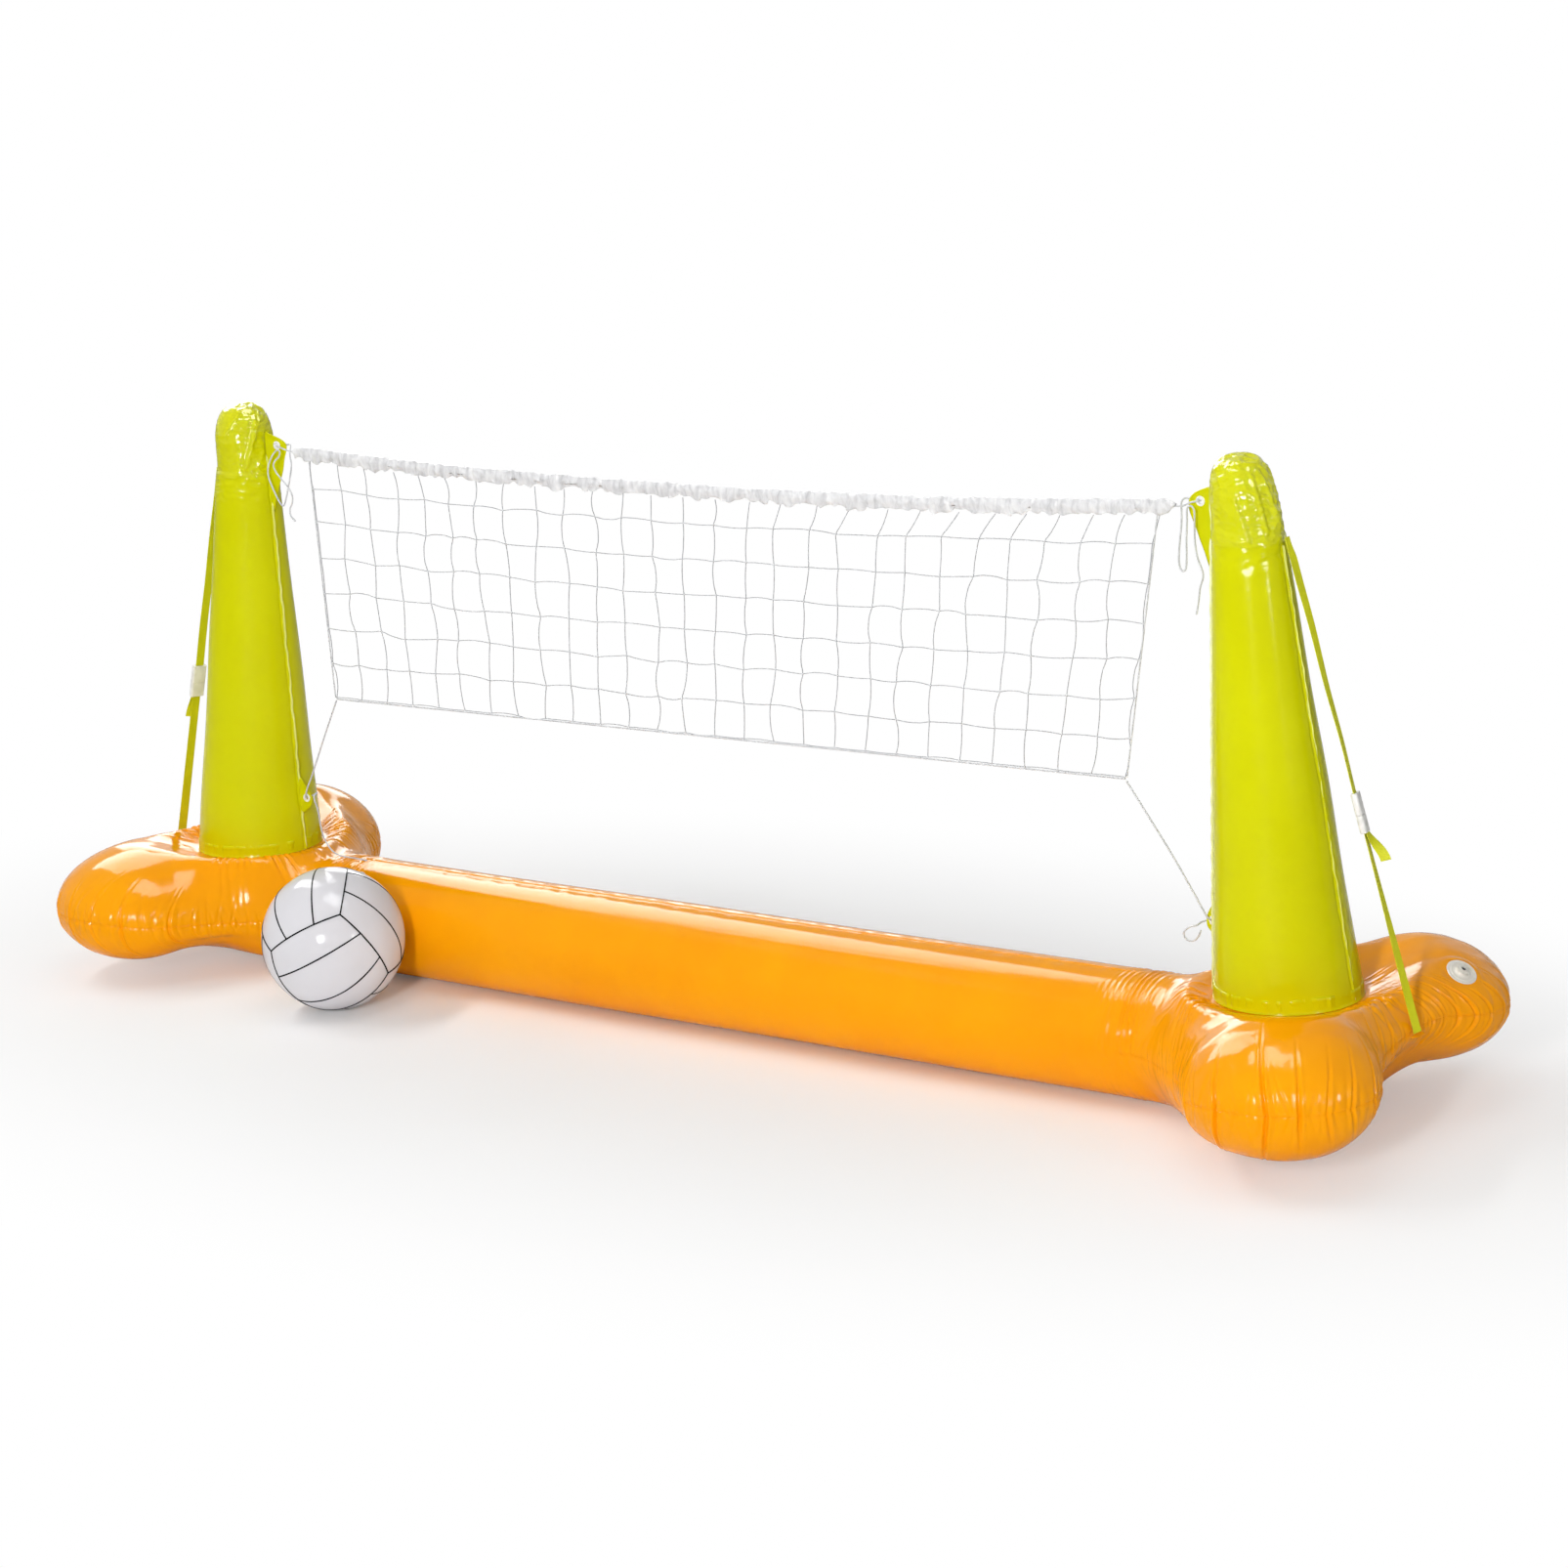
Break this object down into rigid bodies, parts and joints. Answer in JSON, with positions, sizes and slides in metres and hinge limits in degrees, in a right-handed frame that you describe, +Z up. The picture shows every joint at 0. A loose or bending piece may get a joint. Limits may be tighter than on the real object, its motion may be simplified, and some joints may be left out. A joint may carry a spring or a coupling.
{
  "type": "inflatable pool volleyball net",
  "caption": "Inflatable volleyball net for a pool: blown-up base with flared ends, two posts, a knotted net on a gathered headband, buckled straps and a ball.",
  "frame": {"origin": "On the floor, midway between the posts, at the middle of the footprint.", "axes": "X runs along the beam from the left post to the right one, -Y is the front, +Z is up."},
  "size_m": [2.3894, 0.64, 0.91],
  "materials": {
    "base_film": "glossy vinyl film",
    "post_film": "glossy vinyl film",
    "webbing": "woven strap",
    "clear_plastic": "milky moulding",
    "eyelet": "satin",
    "net_cord": "twisted cord",
    "band_tape": "gathered thin tape",
    "ball_film": "glossy vinyl film"
  },
  "bodies": {
    "net_set": {"beam_tube": "base_film", "left_end_upper": "base_film", "left_end_lower": "base_film", "right_end_upper": "base_film", "right_end_lower": "base_film", "left_strap_tab": "base_film", "right_strap_tab": "base_film", "left_post_front_panel": "post_film", "left_post_back_panel": "post_film", "left_post_crown": "post_film", "left_post_foot_band": "post_film", "left_post_base_disc": "post_film", "left_post_top_ear": "post_film", "left_post_bottom_ear": "post_film", "right_post_front_panel": "post_film", "right_post_back_panel": "post_film", "right_post_crown": "post_film", "right_post_foot_band": "post_film", "right_post_base_disc": "post_film", "right_post_top_ear": "post_film", "right_post_bottom_ear": "post_film", "left_strap_anchor": "webbing", "left_strap_upper": "webbing", "left_strap_lower": "webbing", "right_strap_anchor": "webbing", "right_strap_upper": "webbing", "right_strap_lower": "webbing", "left_buckle_socket": "clear_plastic", "left_post_valve_flange": "clear_plastic", "right_buckle_socket": "clear_plastic", "right_post_valve_flange": "clear_plastic", "base_valve_flange": "clear_plastic", "left_top_eyelet": "eyelet", "left_bottom_eyelet": "eyelet", "right_top_eyelet": "eyelet", "right_bottom_eyelet": "eyelet", "left_side_cord": "net_cord", "right_side_cord": "net_cord", "net_mesh": "net_cord", "top_cord": "net_cord", "bottom_cord": "net_cord", "top_left_tie": "net_cord", "top_right_tie": "net_cord", "bottom_left_tie": "net_cord", "bottom_right_tie": "net_cord", "headband": "band_tape"},
    "base_valve_cap": {"base_valve_plug": "clear_plastic"},
    "left_post_valve_cap": {"left_post_valve_plug": "clear_plastic"},
    "right_post_valve_cap": {"right_post_valve_plug": "clear_plastic"},
    "left_buckle_half": {"left_buckle_prongs": "clear_plastic", "left_strap_tail": "webbing"},
    "right_buckle_half": {"right_buckle_prongs": "clear_plastic", "right_strap_tail": "webbing"},
    "ball": {"ball_skin": "ball_film", "ball_valve_flange": "clear_plastic"},
    "ball_valve_cap": {"ball_valve_plug": "clear_plastic"}
  },
  "joints": [
    {"name": "base_valve_hinge", "type": "hinge", "parent": "net_set", "child": "base_valve_cap", "pos_m": [1.16171, 0.14029, 0.19309], "axis": [0, 0.9809, 0.1946], "range_deg": [0, 150]},
    {"name": "left_post_valve_hinge", "type": "hinge", "parent": "net_set", "child": "left_post_valve_cap", "pos_m": [-0.93908, 0.08217, 0.46995], "axis": [-1, 0, 0], "range_deg": [0, 150]},
    {"name": "right_post_valve_hinge", "type": "hinge", "parent": "net_set", "child": "right_post_valve_cap", "pos_m": [0.9436, 0.08217, 0.46995], "axis": [-1, 0, 0], "range_deg": [0, 150]},
    {"name": "left_buckle_slide", "type": "slide", "parent": "net_set", "child": "left_buckle_half", "axis": [-0.2683, 0, -0.9633], "range_m": [0, 0.03]},
    {"name": "right_buckle_slide", "type": "slide", "parent": "net_set", "child": "right_buckle_half", "axis": [0.2555, 0, -0.9668], "range_m": [0, 0.03]},
    {"name": "ball_lift", "type": "slide", "parent": "net_set", "child": "ball", "axis": [0, 0, 1], "range_m": [0, 0.3]},
    {"name": "ball_valve_hinge", "type": "hinge", "parent": "ball", "child": "ball_valve_cap", "pos_m": [-0.62577, -0.1236, 0.19774], "axis": [0, -0.7428, 0.6695], "range_deg": [0, 150]}
  ]
}
